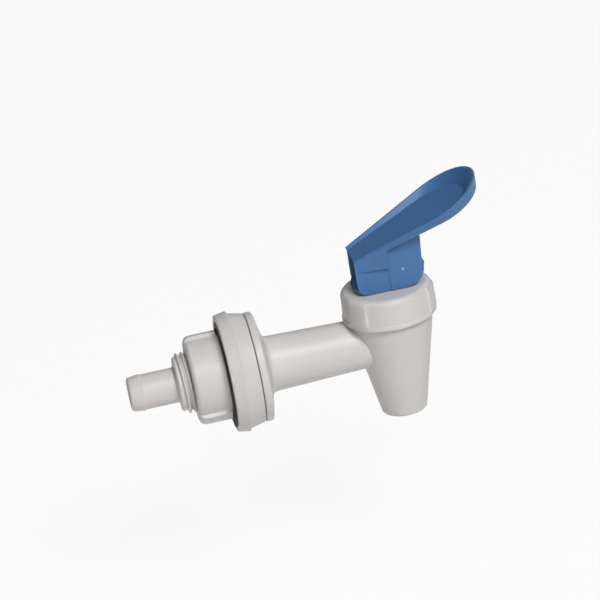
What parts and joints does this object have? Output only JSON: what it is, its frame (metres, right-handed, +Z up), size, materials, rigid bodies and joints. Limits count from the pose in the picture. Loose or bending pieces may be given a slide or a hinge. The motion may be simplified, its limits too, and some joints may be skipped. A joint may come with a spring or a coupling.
{
  "type": "beverage dispenser spigot",
  "caption": "Moulded dispenser tap: barbed threaded inlet with nut and washers, round flange, tapered spout, lift valve and a spoon-shaped press lever.",
  "frame": {"origin": "on the barrel's axis in the seat face of the flange, which closes on the dispenser's wall", "axes": "+X along the barrel towards the valve, +Z up, so the inlet shank points along -X"},
  "size_m": [0.128, 0.0418, 0.0804],
  "materials": {
    "white_plastic": "satin gloss moulded",
    "cap_plastic": "satin gloss moulded",
    "ring_plastic": "satin moulded",
    "black_rubber": "matte",
    "nut_plastic": "satin gloss moulded",
    "blue_plastic": "satin moulded",
    "stem_plastic": "satin moulded",
    "silicone": "matte translucent",
    "spring_steel": "drawn wire"
  },
  "bodies": {
    "root": {"valve_body": "white_plastic", "bonnet_cap": "cap_plastic", "mounting_ring": "ring_plastic", "seat_cup": "silicone", "return_spring": "spring_steel"},
    "stem": {"lift_stem": "stem_plastic"},
    "lever": {"lever_handle": "blue_plastic"},
    "gasket": {"nut_gasket": "black_rubber"},
    "nut": {"lock_nut": "nut_plastic"}
  },
  "joints": [
    {"name": "stem_lift", "type": "slide", "parent": "root", "child": "stem", "axis": [0, 0, 1], "range_m": [0, 0.0026], "deforming": ["return_spring", "seat_cup"]},
    {"name": "lever_press", "type": "hinge", "parent": "stem", "child": "lever", "pos_m": [0.04875, 0, 0.0262], "axis": [0, 1, 0], "range_deg": [0, 22], "stiffness_Nm_per_rad": 0.066, "springref_deg": -34.38},
    {"name": "nut_travel", "type": "slide", "parent": "root", "child": "gasket", "axis": [-1, 0, 0], "range_m": [0, 0.0109]},
    {"name": "nut_turn", "type": "hinge", "parent": "gasket", "child": "nut", "pos_m": [-0.01637, 0, 0], "axis": [-1, 0, 0], "range_deg": [0, 2160]}
  ],
  "couplings": [
    {"joint": "stem_lift", "follows": "lever_press", "m_per_rad": 0.00665},
    {"joint": "nut_travel", "follows": "nut_turn", "m_per_rad": 0.0002887}
  ]
}
